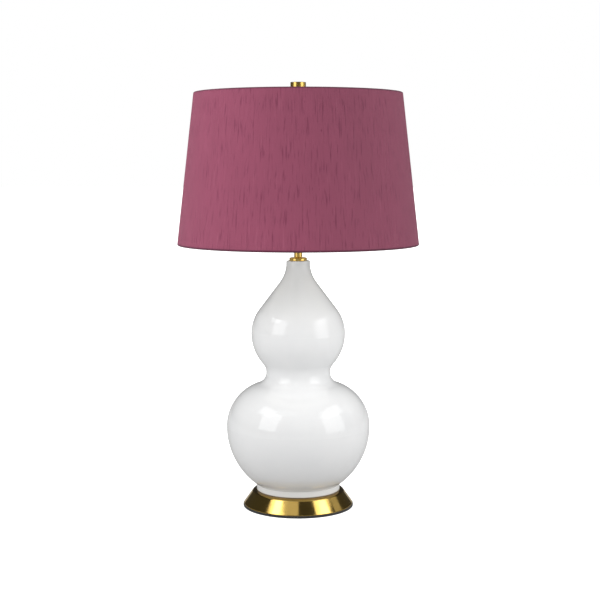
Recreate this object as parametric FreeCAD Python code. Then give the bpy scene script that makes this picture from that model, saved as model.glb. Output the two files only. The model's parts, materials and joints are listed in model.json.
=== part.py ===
import FreeCAD, Part
import math
import os
from FreeCAD import Vector

# A table lamp: a glazed double gourd on a spun brass plinth, with a harp and a tapered drum shade.
# Millimetres, +Z up, origin on the axis at the underside of the base pad. The harp lies in the
# XZ plane, the switch key points to -Y and the cord's bushing is at the back, towards +Y.

# Clearances
turning_gap = 0.05          # radial, where one piece turns or slides in another
slip_gap = 0.25             # radial, where a bolt-up piece slips over the rod
laid_gap = 0.05             # between cloth, wire and liner that are glued up

# Base pad and plinth
pad_r = 92.6
pad_t = 3.0
pad_edge = 0.6
plinth_h = 24.5
plinth_wall = 1.0
rim_r = 91.4
rim_roll_r = 1.2
rim_lip = 7.0
shoulder_r = 8.0
foot_margin = 1.0           # flat of the plinth beyond the gourd's foot

# Cord bushing in the plinth's flank
bushing_bore_r = 3.65
bushing_neck_r = 5.0
bushing_flange_r = 6.6
bushing_flange_t = 1.8
bushing_barb_r = 6.0
bushing_barb_t = 1.6
bushing_seat_gap = 0.3      # the flat barb behind the curved wall
bushing_edge = 0.8

# Rod and its clamp under the plinth
rod_r = 5.0
rod_bore_r = 3.5
rod_tail = 3.0
rod_head_drop = 0.5         # below the top of the holder's hub
clamp_plate_r = 25.0
clamp_plate_t = 3.0
clamp_plate_edge = 0.6
lock_washer_r = 9.0
lock_washer_t = 1.0
nut_wall = 2.2
nut_h = 5.0

# Double gourd
gasket_t = 0.8
gasket_inset = 2.0
gasket_width = 9.0
foot_r = 70.0
foot_band_h = 9.5
foot_ring_width = 13.0
foot_recess = 3.0
floor_t = 6.0
floor_hole_r = 6.5
gourd_wall = 7.0
globe_r = 120.0
globe_low_curve = 120.0
globe_high_curve = 75.0
waist_r = 53.5
waist_curve = 21.0
waist_flank = 5.7
bulge_r = 78.3
bulge_low_curve = 77.0
bulge_high_curve = 66.0
neck_flank = 57.7
neck_curve = 52.4
neck_r = 19.8
neck_rise = 4.2
neck_edge = 2.0
bush_h = 9.0
bush_gap = 0.4
bush_edge = 0.5

# Brass above the neck
cap_r = 14.7
cap_h = 7.0
cap_edge_h = 5.0
cap_low_edge = 0.9
cap_high_edge = 1.9
cap_fillet = 0.8
tube_ease = 0.15            # radial, on top of the rod hole's own gap
tube_wall = 1.5
tube_h = 16.0

# Harp saddle and ferrules
saddle_t = 1.6
saddle_seat_r = 9.0
saddle_bend_r = 2.4
leg_x = 29.4
harp_wire_r = 1.6
leg_to_post = 0.6
peg_r = 1.0
peg_gap = 0.1
peg_height = 10.0
post_half_width = 2.4
post_shoulder_half = 4.6
post_above_peg = 10.0
shoulder_below_peg = 4.5
ferrule_length = 16.0
ferrule_wall = 0.8
ferrule_travel = 16.0
ferrule_edge = 0.35
washer_t = 0.8
washer_r = 9.5
washer_edge = 0.2

# Harp
harp_rise = 217.5
leg_spare = 2.5
harp_half_width = 58.0
leg_curve = 60.0
side_curve = 150.0
crown_curve = 36.0
stud_collar_r = 5.0
stud_collar_drop = 4.5
stud_collar_rise = 4.5
stud_collar_edge = 0.8
stud_flange_r = 9.5
stud_flange_t = 2.0
stud_r = 3.1
stud_grip = 10.0
stud_edge = 0.5

# Lamp holder
hub_r = 8.5
hub_h = 8.0
dome_h = 7.0
cup_h = 6.0
cup_wall = 0.9
hub_edge = 0.7
hub_fillet = 1.5
cup_shoulder = 2.0
cup_lip_edge = 0.3
cup_floor_fillet = 1.0
set_screw_r = 1.5
set_screw_stand = 0.4
screw_slot_width = 0.6
screw_slot_depth = 0.6
shell_gap = 0.2
shell_wall = 0.6
shell_h = 50.5
shell_bead_r = 0.9
liner_wall = 0.8
liner_stand = 1.5
screw_room = 2.05           # radial, between the screw shell and the liner
core_h = 18.0
core_edge = 1.0
contact_h = 2.2
contact_r = 4.6
contact_t = 0.6
contact_root_r = 2.5
contact_top_r = 2.1
contact_gap = 0.3
contact_room = 2.0          # bare core between the contact and the screw shell
terminal_r = 2.4
terminal_head_t = 1.6
terminal_shank_r = 1.4
terminal_shank = 5.0
terminal_sink = 1.4         # head below the core's side
terminal_room = 0.8
terminal_end_gap = 0.3
key_spindle_r = 1.5
key_depth = 5.0
key_stand = 1.9
knob_r = 4.6
knob_length = 12.0
knob_neck_r = 3.3
knob_neck_length = 1.6
knob_neck_edge = 0.4
knob_end_edge = 1.0
knob_end_wall = 1.8
knob_flute_start = 3.0
knob_flutes = 14
knob_flute_r = 0.55
key_window_r = 2.6

# Screw cap of the bulb and the holder's screw shell
thread_pitch = 3.6
thread_turns = 4
thread_crest_r = 13.15
thread_depth = 0.9
thread_round = 0.8
thread_gap = 0.2
screw_wall = 0.45
screw_corner = 0.8
screw_turn_in = 1.0         # the shell's last bend, above the foot of the cap's collar
screw_lip = 3.0
tip_r = 4.8
tip_h = 1.4
tip_edge = 0.9
tip_to_thread = 7.0
insulator_edge_h = 0.8
insulator_margin = 0.4
insulator_fillet = 0.6
cap_wall = 0.4
cap_foot_gap = 0.6
cap_foot_lip = 1.6
cap_collar_h = 5.3
cap_collar_step = 0.9
cap_collar_inset = 0.05
cap_fold = 0.5

# Bulb
bulb_length = 108.0
bulb_r = 30.0
bulb_neck_curve = 45.0
glass_t = 0.9
glass_gap = 0.1
glass_foot = 1.6            # above the foot of the cap's collar
stem_foot = 1.8
stem_gap = 0.4
stem_rim_h = 1.0
stem_rim_edge = 0.4
stem_flare_h = 7.0
stem_flare_fillet = 4.0
stem_root_r = 3.6
stem_tip_r = 2.6
stem_tip_edge = 0.8
stem_top = 46.0
filament_height = 70.0
filament_half = 8.6
filament_r = 0.6
lead_r = 0.35
lead_spread = 1.4
lead_inset = 0.6
lead_gap = 0.1

# Shade
shade_bottom_r = 200.0
shade_top_r = 171.7
shade_height = 249.8
shade_recess = 15.0
ring_wire_r = 1.5
cloth_t = 0.45
hem_turn = 35.0             # degrees that the hem turns past a half circle
hem_length = 3.6
shade_liner_t = 0.6
spider_hub_r = 13.0
spider_hub_t = 4.0
spider_hub_edge = 0.6
spider_arms_count = 3
spider_arm_r = 1.5
spider_elbow_r = 30.0
spider_elbow_curve = 40.0
spider_first_angle = 90.0
notch_gap = 0.4

# Finial
finial_r = 12.7
finial_h = 32.0
finial_drum_h = 20.0
finial_neck_r = 4.9
finial_foot_r = 6.6
finial_foot_h = 2.0
finial_foot_edge = 0.4
finial_ankle_h = 1.6
finial_ankle_fillet = 1.2
finial_flare_h = 3.4
finial_flare_fillet = 2.4
finial_edge = 0.8
finial_bore_room = 1.0

# Levels, from the floor up
plinth_top = pad_t + plinth_h
clamp_top = plinth_top - plinth_wall
nut_bottom = clamp_top - clamp_plate_t - lock_washer_t - nut_h
rod_bottom = nut_bottom - rod_tail
foot_z = plinth_top + gasket_t
band_top = foot_z + foot_band_h
globe_z = band_top + math.sqrt(globe_low_curve**2 - (foot_r - globe_r + globe_low_curve)**2)
waist_reach = waist_r + waist_curve - globe_r + globe_high_curve
waist_z = globe_z + math.sqrt((globe_high_curve + waist_curve)**2 - waist_reach**2)
bulge_reach = waist_r + waist_curve - bulge_r + bulge_low_curve
bulge_span = math.hypot(waist_curve + bulge_low_curve, waist_flank)
bulge_z = waist_z + math.sqrt(bulge_span**2 - bulge_reach**2)
neck_reach = neck_r + neck_curve - bulge_r + bulge_high_curve
neck_span = math.hypot(bulge_high_curve + neck_curve, neck_flank)
neck_z = bulge_z + math.sqrt(neck_span**2 - neck_reach**2)
gourd_top = neck_z + neck_rise
cap_top = gourd_top + cap_h
tube_top = cap_top + tube_h
saddle_top = tube_top + saddle_t
peg_z = tube_top + peg_height
post_top = peg_z + post_above_peg
post_shoulder_z = peg_z - shoulder_below_peg
holder_z = saddle_top + washer_t
dome_z = holder_z + hub_h
cup_z = dome_z + dome_h
core_z = cup_z + cup_wall
core_top = core_z + core_h
shell_z = cup_z + cup_h / 2
shell_top = shell_z + shell_h
bulb_z = core_top + contact_h + contact_gap
first_crest_z = bulb_z + tip_to_thread
last_crest_z = first_crest_z + (thread_turns - 1) * thread_pitch
cap_collar_z = last_crest_z + thread_pitch / 2
cap_collar_top = cap_collar_z + cap_collar_h
bulb_top = bulb_z + bulb_length
crown_z = peg_z + harp_rise
flange_z = crown_z + stud_collar_rise
hub_z = flange_z + stud_flange_t
hub_top = hub_z + spider_hub_t
shade_top = hub_top + shade_recess
shade_bottom = shade_top - shade_height
finial_top = hub_top + finial_h

# Radii that follow from what they fit
rod_hole_r = rod_r + slip_gap
tube_r = rod_hole_r + tube_ease + tube_wall
gourd_bore_r = neck_r - gourd_wall
liner_bore_r = thread_crest_r + thread_gap + screw_wall + screw_room
liner_r = liner_bore_r + liner_wall
shell_r = liner_r + laid_gap + shell_wall
cup_bore_r = shell_r + shell_gap
cup_r = cup_bore_r + cup_wall
core_r = liner_bore_r - shell_gap
roll_r = ring_wire_r + laid_gap + cloth_t
key_z = core_z + core_h / 2
set_screw_z = (holder_z + dome_z) / 2
terminal_seat_x = core_r - terminal_sink - terminal_head_t
thread_root_r = thread_crest_r - thread_depth
cap_foot_top = first_crest_z - thread_pitch / 2 - cap_foot_gap
cap_foot_r = thread_root_r - cap_wall - cap_foot_gap
collar_r = thread_crest_r - cap_collar_inset
glass_neck_r = collar_r - cap_wall - glass_gap


def rounded_face(corners):
    """Face in the XZ plane through corners (x, z) or (x, z, fillet radius), in order round it."""
    spots = [Vector(corner[0], 0, corner[1]) for corner in corners]
    radii = [corner[2] if len(corner) > 2 else 0.0 for corner in corners]
    stretches = []
    for i, spot in enumerate(spots):
        if radii[i] == 0.0:
            stretches.append((spot, None, spot))
            continue
        back = (spots[i - 1] - spot).normalize()
        ahead = (spots[(i + 1) % len(spots)] - spot).normalize()
        half = back.getAngle(ahead) / 2
        setback = radii[i] / math.tan(half)
        centre = spot + (back + ahead).normalize() * (radii[i] / math.sin(half))
        middle = centre + (spot - centre).normalize() * radii[i]
        stretches.append((spot + back * setback, middle, spot + ahead * setback))
    edges = []
    for i, (first, middle, last) in enumerate(stretches):
        if middle is not None:
            edges.append(Part.Arc(first, middle, last).toShape())
        following = stretches[(i + 1) % len(stretches)][0]
        if (following - last).Length > 1e-6:
            edges.append(Part.LineSegment(last, following).toShape())
    return Part.Face(Part.Wire(edges))


def spin(face):
    """Solid of revolution of a face about the Z axis."""
    return face.revolve(Vector(0, 0, 0), Vector(0, 0, 1), 360)


def lathe(corners):
    """Turned piece from the corners of its half section."""
    return spin(rounded_face(corners))


def sleeve(outer_r, bore_r, bottom, top, edge=0.0):
    """Tube or washer with its outer edges rounded by edge."""
    return lathe([
        (bore_r, bottom),
        (outer_r, bottom, edge),
        (outer_r, top, edge),
        (bore_r, top),
    ])


def rod_along(radius, start, end):
    """Round bar from start to end."""
    return Part.makeCylinder(radius, (end - start).Length, start, end - start)


def on_circle(centre, radius, angle):
    """Point of the XZ plane at an angle, in radians, round a centre (x, z)."""
    return Vector(centre[0] + radius * math.cos(angle), 0, centre[1] + radius * math.sin(angle))


def arc_edge(centre, radius, start, end):
    """Arc in the XZ plane, from one angle to another, both in radians."""
    middle = on_circle(centre, radius, (start + end) / 2)
    return Part.Arc(on_circle(centre, radius, start), middle, on_circle(centre, radius, end)).toShape()


def line_edge(start, end):
    return Part.LineSegment(start, end).toShape()


def joined(edges):
    """Closed face of edges in order, with straight stretches put in where two don't meet."""
    chain = []
    for i, edge in enumerate(edges):
        chain.append(edge)
        here = edge.valueAt(edge.LastParameter)
        following = edges[(i + 1) % len(edges)]
        there = following.valueAt(following.FirstParameter)
        if (there - here).Length > 1e-6:
            chain.append(line_edge(here, there))
    return Part.Face(Part.Wire(chain))


def wire_bar(path, radius):
    """Round wire of a radius along a path of tangent edges."""
    first = path[0]
    start = first.valueAt(first.FirstParameter)
    heading = first.tangentAt(first.FirstParameter)
    circle = Part.Wire(Part.Circle(start, heading, radius).toShape())
    return Part.Wire(path).makePipeShell([circle], True, False)


# Base

def make_felt_pad():
    return lathe([(0, 0), (pad_r, 0), (pad_r, pad_t, pad_edge), (0, pad_t)])


def flank():
    """Centres of the plinth's shoulder and rim rolls, and the angle of the flank's normal."""
    flat_r = foot_r + foot_margin
    shoulder = (flat_r, plinth_top - shoulder_r)
    rim = (rim_r - rim_roll_r, pad_t + rim_roll_r)
    run = (rim[0] - shoulder[0], rim[1] - shoulder[1])
    lean = math.atan2(run[1], run[0]) + math.acos((shoulder_r - rim_roll_r) / math.hypot(*run))
    return shoulder, rim, lean


def bushing_place():
    """Place and tilt of the bushing, square to the middle of the flank at the back."""
    shoulder, rim, lean = flank()
    upper = on_circle(shoulder, shoulder_r, lean)
    lower = on_circle(rim, rim_roll_r, lean)
    middle = (upper + lower) * 0.5
    turn = FreeCAD.Rotation(Vector(1, 0, 0), math.degrees(lean) - 90)
    return FreeCAD.Placement(Vector(0, middle.x, middle.z), turn)


def make_plinth():
    shoulder, rim, lean = flank()
    quarter = math.pi / 2
    lip_r = rim_r - rim_lip
    inner_shoulder_r = shoulder_r - plinth_wall
    inner_roll_r = rim_roll_r - plinth_wall
    section = joined([
        line_edge(Vector(rod_hole_r, 0, plinth_top), Vector(shoulder[0], 0, plinth_top)),
        arc_edge(shoulder, shoulder_r, quarter, lean),
        arc_edge(rim, rim_roll_r, lean, -quarter),
        line_edge(Vector(rim[0], 0, pad_t), Vector(lip_r, 0, pad_t)),
        line_edge(Vector(lip_r, 0, pad_t + plinth_wall), Vector(rim[0], 0, pad_t + plinth_wall)),
        arc_edge(rim, inner_roll_r, -quarter, lean),
        arc_edge(shoulder, inner_shoulder_r, lean, quarter),
        line_edge(Vector(shoulder[0], 0, clamp_top), Vector(rod_hole_r, 0, clamp_top)),
    ])
    depth = 3 * plinth_wall
    hole = Part.makeCylinder(bushing_neck_r + turning_gap, 2 * depth, Vector(0, 0, -depth))
    hole.Placement = bushing_place()
    return spin(section).cut(hole)


def make_cord_bushing():
    behind = -plinth_wall - bushing_seat_gap
    bushing = lathe([
        (bushing_bore_r, behind - bushing_barb_t),
        (bushing_barb_r, behind - bushing_barb_t, bushing_edge),
        (bushing_barb_r, behind),
        (bushing_neck_r, behind),
        (bushing_neck_r, laid_gap),
        (bushing_flange_r, laid_gap),
        (bushing_flange_r, bushing_flange_t, bushing_edge),
        (bushing_bore_r, bushing_flange_t),
    ])
    bushing.Placement = bushing_place()
    return bushing


# Rod, clamp and gourd

def make_lamp_rod():
    return sleeve(rod_r, rod_bore_r, rod_bottom, dome_z - rod_head_drop)


def make_clamp_plate():
    return sleeve(clamp_plate_r, rod_hole_r, clamp_top - clamp_plate_t, clamp_top, clamp_plate_edge)


def make_lock_washer():
    top = clamp_top - clamp_plate_t
    return sleeve(lock_washer_r, rod_hole_r, top - lock_washer_t, top)


def make_clamp_nut():
    bore_r = rod_r + turning_gap
    flat_r = bore_r + nut_wall
    corner_r = flat_r / math.cos(math.pi / 6)
    chamfer = (corner_r - flat_r) / 2
    corners = [on_circle((0, 0), corner_r, i * math.pi / 3) for i in range(6)]
    ring = [Vector(corner.x, corner.z, nut_bottom) for corner in corners]
    block = Part.Face(Part.makePolygon(ring + ring[:1])).extrude(Vector(0, 0, nut_h))
    crown = lathe([
        (0, nut_bottom),
        (flat_r, nut_bottom),
        (corner_r, nut_bottom + chamfer),
        (corner_r, nut_bottom + nut_h - chamfer),
        (flat_r, nut_bottom + nut_h),
        (0, nut_bottom + nut_h),
    ])
    return block.common(crown).cut(Part.makeCylinder(bore_r, nut_h, Vector(0, 0, nut_bottom)))


def make_foot_gasket():
    outer_r = foot_r - gasket_inset
    return sleeve(outer_r, outer_r - gasket_width, plinth_top, foot_z)


def gourd_side(inset, start_z):
    """Arcs of the gourd's side, moved inwards by inset, from a height up to the neck."""
    globe_low = (globe_r - globe_low_curve, globe_z)
    globe_high = (globe_r - globe_high_curve, globe_z)
    waist = (waist_r + waist_curve, waist_z)
    bulge_low = (bulge_r - bulge_low_curve, bulge_z)
    bulge_high = (bulge_r - bulge_high_curve, bulge_z)
    neck = (neck_r + neck_curve, neck_z)

    start = math.asin((start_z - globe_z) / (globe_low_curve - inset))
    into_waist = math.atan2(waist_z - globe_z, waist[0] - globe_high[0])
    below_bulge = math.atan2(waist_z - bulge_z, bulge_reach)
    out_of_waist = below_bulge + math.acos((waist_curve + bulge_low_curve) / bulge_span)
    above_bulge = math.atan2(neck_z - bulge_z, neck_reach)
    into_neck = above_bulge - math.acos((bulge_high_curve + neck_curve) / neck_span)
    return [
        arc_edge(globe_low, globe_low_curve - inset, start, 0),
        arc_edge(globe_high, globe_high_curve - inset, 0, into_waist),
        arc_edge(waist, waist_curve + inset, into_waist + math.pi, out_of_waist + math.pi),
        arc_edge(bulge_low, bulge_low_curve - inset, out_of_waist, 0),
        arc_edge(bulge_high, bulge_high_curve - inset, 0, into_neck),
        arc_edge(neck, neck_curve + inset, into_neck + math.pi, math.pi),
    ]


def gourd_section(inset, bottom, top, corners):
    """Face from the axis out to the gourd's side, closed by the corners under it."""
    side = gourd_side(inset, bottom)
    last = side[-1].valueAt(side[-1].LastParameter)
    edges = side + [line_edge(last, Vector(last.x, 0, top)), line_edge(Vector(0, 0, top), corners[0])]
    for here, there in zip(corners, corners[1:]):
        edges.append(line_edge(here, there))
    return joined(edges)


def make_ceramic_body():
    floor_top = foot_z + foot_recess + floor_t
    outside = spin(gourd_section(0.0, band_top, gourd_top, [
        Vector(0, 0, foot_z),
        Vector(foot_r, 0, foot_z),
        Vector(foot_r, 0, band_top),
    ]))
    edge = min(neck_edge, neck_rise * 0.8)
    rims = [ring for ring in outside.Edges if abs(ring.CenterOfMass.z - gourd_top) < 1e-6]
    outside = outside.makeFillet(edge, [ring for ring in rims if ring.Length > 2 * neck_r])
    inside = spin(gourd_section(gourd_wall, floor_top, gourd_top, [Vector(0, 0, floor_top)]))
    recess_r = foot_r - foot_ring_width
    recess = Part.makeCylinder(recess_r, foot_recess, Vector(0, 0, foot_z))
    hole = Part.makeCylinder(floor_hole_r, floor_top - foot_z, Vector(0, 0, foot_z))
    return outside.cut(inside).cut(recess).cut(hole)


def make_neck_bush():
    return sleeve(gourd_bore_r - bush_gap, rod_hole_r, gourd_top - bush_h, gourd_top, bush_edge)


def make_vase_cap():
    return lathe([
        (rod_hole_r, gourd_top),
        (cap_r, gourd_top, cap_low_edge),
        (cap_r, gourd_top + cap_edge_h, cap_high_edge),
        (tube_r, gourd_top + (cap_edge_h + cap_h) / 2, cap_fillet),
        (tube_r, cap_top),
        (rod_hole_r, cap_top),
    ])


def make_neck_tube():
    return sleeve(tube_r, tube_r - tube_wall, cap_top, tube_top)


# Harp saddle, harp and ferrules

post_outer_x = leg_x - harp_wire_r - leg_to_post
post_inner_x = post_outer_x - saddle_t
ferrule_x = (post_inner_x + leg_x + harp_wire_r) / 2
ferrule_bore_r = math.hypot(ferrule_x - post_inner_x, post_half_width) + slip_gap


def make_harp_saddle():
    """Strip bent up at both ends into forked posts that take the harp's pegs."""
    bend_out = saddle_bend_r + saddle_t
    strip = rounded_face([
        (-post_outer_x, tube_top, bend_out),
        (post_outer_x, tube_top, bend_out),
        (post_outer_x, post_top),
        (post_inner_x, post_top),
        (post_inner_x, saddle_top, saddle_bend_r),
        (-post_inner_x, saddle_top, saddle_bend_r),
        (-post_inner_x, post_top),
        (-post_outer_x, post_top),
    ]).extrude(Vector(0, 2 * post_shoulder_half, 0))
    strip.translate(Vector(0, -post_shoulder_half, 0))
    seat = Part.makeCylinder(saddle_seat_r, saddle_t, Vector(0, 0, tube_top))
    hole = Part.makeCylinder(rod_hole_r, saddle_t, Vector(0, 0, tube_top))
    saddle = strip.fuse(seat).removeSplitter().cut(hole)
    fork_r = peg_r + peg_gap
    span = 2 * post_outer_x + saddle_t
    for side in (-1, 1):
        corner = Vector(-span / 2, post_half_width if side > 0 else -2 * post_shoulder_half, post_shoulder_z)
        width = 2 * post_shoulder_half - post_half_width * (side < 0)
        saddle = saddle.cut(Part.makeBox(span, width, post_top, corner))
    slot = Part.makeBox(span, 2 * fork_r, post_top, Vector(-span / 2, -fork_r, peg_z))
    end = Part.makeCylinder(fork_r, span, Vector(-span / 2, 0, peg_z), Vector(1, 0, 0))
    return saddle.cut(slot).cut(end)


def make_saddle_washer():
    return sleeve(washer_r, rod_hole_r, saddle_top, holder_z, washer_edge)


def harp_half():
    """Edges of the right half of the harp, from the foot of its leg up to the crown."""
    straight_top = post_shoulder_z + ferrule_length + ferrule_travel + leg_spare
    flare = (leg_x + leg_curve, straight_top)
    reach = leg_x + leg_curve - harp_half_width + side_curve
    widest_z = straight_top + math.sqrt((leg_curve + side_curve)**2 - reach**2)
    side = (harp_half_width - side_curve, widest_z)
    rise = crown_z - widest_z
    bend = harp_half_width**2 + rise**2 - 2 * crown_curve * rise
    shoulder_curve = bend / (2 * (harp_half_width - crown_curve))
    shoulder = (harp_half_width - shoulder_curve, widest_z)
    crown = (0, crown_z - crown_curve)
    out = math.atan2(widest_z - straight_top, -reach)
    over = math.atan2(crown[1] - shoulder[1], crown[0] - shoulder[0])
    return [
        line_edge(Vector(leg_x, 0, peg_z - harp_wire_r), Vector(leg_x, 0, straight_top)),
        arc_edge(flare, leg_curve, math.pi, out),
        arc_edge(side, side_curve, out - math.pi, 0),
        arc_edge(shoulder, shoulder_curve, 0, over),
        arc_edge(crown, crown_curve, over, math.pi / 2),
    ]


def make_harp_wire():
    half = wire_bar(harp_half(), harp_wire_r)
    peg = rod_along(peg_r, Vector(leg_x, 0, peg_z), Vector(post_inner_x - leg_to_post, 0, peg_z))
    half = half.fuse(peg)
    return half.fuse(half.mirror(Vector(0, 0, 0), Vector(1, 0, 0))).removeSplitter()


def make_harp_stud():
    """Swivel stud on the crown: collar over the wire, flange for the shade, threaded end."""
    grip_top = hub_top + stud_grip
    stud = lathe([
        (0, crown_z - stud_collar_drop),
        (stud_collar_r, crown_z - stud_collar_drop, stud_collar_edge),
        (stud_collar_r, flange_z, stud_collar_edge),
        (stud_flange_r, flange_z, stud_edge),
        (stud_flange_r, hub_z, stud_edge),
        (stud_r, hub_z),
        (stud_r, grip_top, stud_edge),
        (0, grip_top),
    ])
    centre = Vector(0, 0, crown_z - crown_curve)
    bend = Part.makeTorus(crown_curve, harp_wire_r + turning_gap, centre, Vector(0, 1, 0))
    return stud.cut(bend)


def make_ferrule(side):
    ferrule = sleeve(
        ferrule_bore_r + ferrule_wall,
        ferrule_bore_r,
        post_shoulder_z,
        post_shoulder_z + ferrule_length,
        ferrule_edge,
    )
    ferrule.translate(Vector(side * ferrule_x, 0, 0))
    return ferrule


# Lamp holder

def make_holder_cap():
    floor_z = dome_z + cup_wall
    cap = lathe([
        (rod_r + turning_gap, holder_z),
        (hub_r, holder_z, hub_edge),
        (hub_r, dome_z, hub_fillet),
        (cup_r, cup_z, cup_shoulder),
        (cup_r, cup_z + cup_h, cup_lip_edge),
        (cup_bore_r, cup_z + cup_h, cup_lip_edge),
        (cup_bore_r, cup_z + cup_wall / 2, cup_floor_fillet),
        (hub_r, floor_z),
        (rod_r + turning_gap, floor_z),
    ])
    inner, outer = Vector(0, rod_r, set_screw_z), Vector(0, 2 * hub_r, set_screw_z)
    return cap.cut(rod_along(set_screw_r + turning_gap, inner, outer))


def make_set_screw():
    head = Vector(0, hub_r + set_screw_stand, set_screw_z)
    screw = rod_along(set_screw_r, Vector(0, rod_r + 2 * turning_gap, set_screw_z), head)
    corner = Vector(-set_screw_r, head.y - screw_slot_depth, set_screw_z - screw_slot_width / 2)
    return screw.cut(Part.makeBox(2 * set_screw_r, screw_slot_depth, screw_slot_width, corner))


def key_window(radius):
    """Round cutter from the holder's middle out to the front, at the switch key's height."""
    return rod_along(radius, Vector(0, 0, key_z), Vector(0, -2 * cup_r, key_z))


def make_holder_shell():
    bore_r = shell_r - shell_wall
    bead = shell_bead_r
    shell = lathe([
        (bore_r, shell_z),
        (shell_r, shell_z),
        (shell_r, shell_top - 2 * bead, bead / 3),
        (shell_r + bead, shell_top - 2 * bead, bead * 0.6),
        (shell_r + bead, shell_top, bead * 0.9),
        (bore_r, shell_top),
    ])
    return shell.cut(key_window(key_window_r))


def make_holder_liner():
    return sleeve(liner_r, liner_bore_r, shell_z, shell_top + liner_stand).cut(key_window(key_window_r))


def make_holder_core():
    """Insulating block with the key's bearing, a seat for the contact and two terminal pockets."""
    core = lathe([(0, core_z), (core_r, core_z, core_edge), (core_r, core_top, core_edge), (0, core_top)])
    bearing = rod_along(
        key_spindle_r + turning_gap,
        Vector(0, -core_r + key_depth, key_z),
        Vector(0, -cup_r, key_z),
    )
    core = core.cut(bearing)
    for side in (-1, 1):
        seat = Vector(side * terminal_seat_x, 0, key_z)
        pocket = rod_along(terminal_r + terminal_room, seat, Vector(side * cup_r, 0, key_z))
        tap = Vector(seat.x - side * terminal_shank, 0, key_z)
        hole = rod_along(terminal_shank_r + turning_gap, tap, seat)
        core = core.cut(pocket).cut(hole)
    return core


def make_terminal_screws():
    screws = []
    for side in (-1, 1):
        seat = Vector(side * terminal_seat_x, 0, key_z)
        outward = Vector(side, 0, 0)
        face = seat + outward * terminal_head_t
        head = rod_along(terminal_r, seat, face)
        shank = rod_along(terminal_shank_r, seat - outward * (terminal_shank - terminal_end_gap), seat)
        corner = Vector(face.x - screw_slot_depth, -terminal_r, key_z - screw_slot_width / 2)
        slot = Part.makeBox(2 * screw_slot_depth, 2 * terminal_r, screw_slot_width, corner)
        screws.append(head.fuse(shank).removeSplitter().cut(slot))
    return Part.makeCompound(screws)


def thread_corners(crest_r, root_r):
    """Rolled thread as rings, from the root under the first crest to the root over the last."""
    corners = [(root_r, first_crest_z - thread_pitch / 2, thread_round)]
    for turn in range(thread_turns):
        crest_z = first_crest_z + turn * thread_pitch
        corners.append((crest_r, crest_z, thread_round))
        corners.append((root_r, crest_z + thread_pitch / 2, thread_round))
    return corners


def make_screw_shell():
    groove_r = thread_crest_r + thread_gap
    ridge_r = groove_r - thread_depth
    floor_top = core_top + screw_wall
    outer_r = groove_r + screw_wall
    turn_z = cap_collar_z + screw_turn_in
    lip_z = cap_collar_z + screw_lip
    inside = [(groove_r, floor_top, screw_corner)] + thread_corners(groove_r, ridge_r)
    inside += [(groove_r, turn_z, thread_round), (groove_r, lip_z)]
    outside = [(outer_r, lip_z), (outer_r, turn_z, thread_round)]
    outside += thread_corners(outer_r, ridge_r + screw_wall)[::-1]
    outside += [(outer_r, core_top, screw_corner)]
    hole_r = contact_r + contact_room
    return lathe([(hole_r, core_top), (hole_r, floor_top)] + inside + outside)


def make_centre_contact():
    return lathe([
        (0, core_top),
        (contact_r, core_top),
        (contact_r, core_top + contact_t, contact_t / 3),
        (contact_root_r, core_top + contact_t, contact_t),
        (contact_top_r, core_top + contact_h, contact_t),
        (0, core_top + contact_h),
    ])


def make_key_spindle():
    inner = Vector(0, -core_r + key_depth - slip_gap, key_z)
    outer_y = -cup_r - key_stand - knob_length + knob_end_wall + turning_gap
    return rod_along(key_spindle_r, inner, Vector(0, outer_y, key_z))


def make_key_knob():
    near = Vector(0, -cup_r - key_stand, key_z)
    knob = lathe([
        (key_spindle_r + turning_gap, 0),
        (knob_neck_r, 0, knob_neck_edge),
        (knob_neck_r, knob_neck_length, knob_neck_edge),
        (knob_r, knob_neck_length, knob_neck_edge),
        (knob_r, knob_length, knob_end_edge),
        (0, knob_length),
        (0, knob_length - knob_end_wall),
        (key_spindle_r + turning_gap, knob_length - knob_end_wall),
    ])
    for i in range(knob_flutes):
        angle = 2 * math.pi * i / knob_flutes
        foot = Vector(knob_r * math.cos(angle), knob_r * math.sin(angle), knob_flute_start)
        knob = knob.cut(Part.makeCylinder(knob_flute_r, knob_length, foot))
    knob.Placement = FreeCAD.Placement(near, FreeCAD.Rotation(Vector(1, 0, 0), 90))
    return knob


# Bulb

def make_bulb_tip():
    return lathe([(0, bulb_z), (tip_r, bulb_z, tip_edge), (tip_r, bulb_z + tip_h), (0, bulb_z + tip_h)])


def make_bulb_insulator():
    foot = bulb_z + tip_h
    return lathe([
        (0, foot),
        (tip_r + insulator_margin, foot, insulator_fillet / 2),
        (cap_foot_r, cap_foot_top - insulator_edge_h, insulator_fillet),
        (cap_foot_r, cap_foot_top),
        (0, cap_foot_top),
    ])


def make_bulb_cap():
    """Thin screw cap, rolled to the thread, with a collar that takes the glass."""
    inner_root_r = thread_root_r - cap_wall
    lip_r = inner_root_r - cap_foot_lip
    step_z = cap_collar_z + cap_collar_step
    outside = [(lip_r, cap_foot_top), (thread_root_r, cap_foot_top, cap_fold)]
    outside += thread_corners(thread_crest_r, thread_root_r)
    outside += [(collar_r, step_z, cap_fold), (collar_r, cap_collar_top)]
    inside = [(collar_r - cap_wall, cap_collar_top), (collar_r - cap_wall, step_z, cap_fold)]
    inside += thread_corners(thread_crest_r - cap_wall, inner_root_r)[::-1]
    inside += [(inner_root_r, cap_foot_top + cap_wall, cap_wall / 2)]
    return lathe(outside + inside + [(lip_r, cap_foot_top + cap_wall)])


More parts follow.
